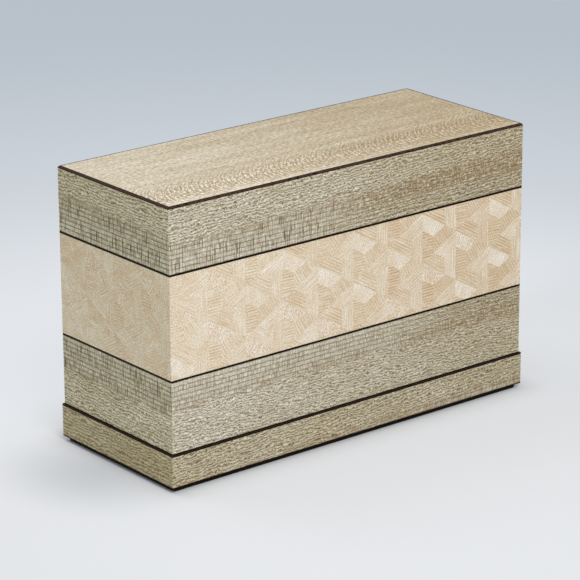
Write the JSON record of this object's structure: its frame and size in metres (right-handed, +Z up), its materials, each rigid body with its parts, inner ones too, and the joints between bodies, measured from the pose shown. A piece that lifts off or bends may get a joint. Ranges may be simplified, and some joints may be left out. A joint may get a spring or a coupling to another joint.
{
  "type": "wooden puzzle box",
  "caption": "Long wooden puzzle box on a plinth: a parquetry band of linked sliding panels between lacewood bands, a lift-off lid and a hidden end drawer.",
  "frame": {"origin": "centre of the foot plate's underside, on the surface that the box stands on", "axes": "+X along the length towards the drawer's end, +Y across the box to the back, +Z up"},
  "size_m": [0.252, 0.102, 0.1595],
  "materials": {
    "lacewood": "satin, quartered lacewood with ladder flecks",
    "lacewood_top": "satin, quartered lacewood",
    "parquetry": "satin, pale maple tiles with turned grain",
    "dark_wood": "satin, blackened hardwood",
    "inner_wood": "waxed, plain hardwood",
    "felt": "felt",
    "magnet_steel": "nickel plated",
    "pin_brass": "turned"
  },
  "bodies": {
    "case": {"foot_plate": "dark_wood", "base_edging": "dark_wood", "base_board": "inner_wood", "plinth_front": "lacewood", "plinth_back": "lacewood", "plinth_left": "lacewood", "plinth_right": "lacewood", "plinth_cap": "dark_wood", "lower_front_wall": "lacewood", "lower_back_wall": "lacewood", "lower_left_wall": "lacewood", "drawer_runners": "dark_wood", "drawer_stop": "inner_wood", "lower_stringing": "dark_wood", "mechanism_deck": "inner_wood", "rotor_axle": "pin_brass", "liner_front": "inner_wood", "liner_back": "inner_wood", "liner_left": "inner_wood", "liner_right": "inner_wood", "compartment_floor": "inner_wood", "compartment_lining": "felt", "upper_stringing": "dark_wood"},
    "front_panel": {"front_panel_core": "inner_wood", "front_panel_parquetry": "parquetry", "front_panel_runners": "inner_wood", "front_panel_drive_arm": "inner_wood", "front_panel_magnets": "magnet_steel"},
    "left_panel": {"left_panel_core": "inner_wood", "left_panel_parquetry": "parquetry", "left_panel_runners": "inner_wood", "left_panel_drive_arm": "inner_wood", "left_panel_magnets": "magnet_steel"},
    "back_panel": {"back_panel_core": "inner_wood", "back_panel_parquetry": "parquetry", "back_panel_runners": "inner_wood", "back_panel_drive_arm": "inner_wood", "back_panel_magnets": "magnet_steel"},
    "right_panel": {"right_panel_core": "inner_wood", "right_panel_parquetry": "parquetry", "right_panel_runners": "inner_wood", "right_panel_drive_arm": "inner_wood", "right_panel_magnets": "magnet_steel"},
    "rotor": {"rotor_disc": "inner_wood", "rotor_pins": "pin_brass"},
    "lid": {"lid_front_wall": "lacewood", "lid_back_wall": "lacewood", "lid_left_wall": "lacewood", "lid_right_wall": "lacewood", "lid_board": "inner_wood", "lid_top_veneer": "lacewood_top", "lid_edging": "dark_wood", "lid_magnets": "magnet_steel"},
    "drawer": {"drawer_front": "lacewood", "drawer_sides": "inner_wood", "drawer_back": "inner_wood", "drawer_bottom": "inner_wood", "drawer_lining": "felt", "drawer_magnets": "magnet_steel"}
  },
  "joints": [
    {"name": "front_panel_slide", "type": "slide", "parent": "case", "child": "front_panel", "axis": [-1, 0, 0], "range_m": [0, 0.0125]},
    {"name": "left_panel_slide", "type": "slide", "parent": "case", "child": "left_panel", "axis": [0, 1, 0], "range_m": [0, 0.0125]},
    {"name": "back_panel_slide", "type": "slide", "parent": "case", "child": "back_panel", "axis": [1, 0, 0], "range_m": [0, 0.0125]},
    {"name": "right_panel_slide", "type": "slide", "parent": "case", "child": "right_panel", "axis": [0, -1, 0], "range_m": [0, 0.0125]},
    {"name": "rotor_turn", "type": "hinge", "parent": "case", "child": "rotor", "pos_m": [0, 0, 0.0657], "axis": [0, 0, -1], "range_deg": [0, 24.1]},
    {"name": "lid_lift", "type": "slide", "parent": "case", "child": "lid", "axis": [0, 0, 1], "range_m": [0, 0.045]},
    {"name": "drawer_slide", "type": "slide", "parent": "case", "child": "drawer", "axis": [1, 0, 0], "range_m": [0, 0.19]}
  ],
  "couplings": [
    {"joint": "left_panel_slide", "follows": "front_panel_slide", "ratio": 1},
    {"joint": "back_panel_slide", "follows": "front_panel_slide", "ratio": 1},
    {"joint": "right_panel_slide", "follows": "front_panel_slide", "ratio": 1},
    {"joint": "rotor_turn", "follows": "front_panel_slide", "rad_per_m": 33.58}
  ]
}
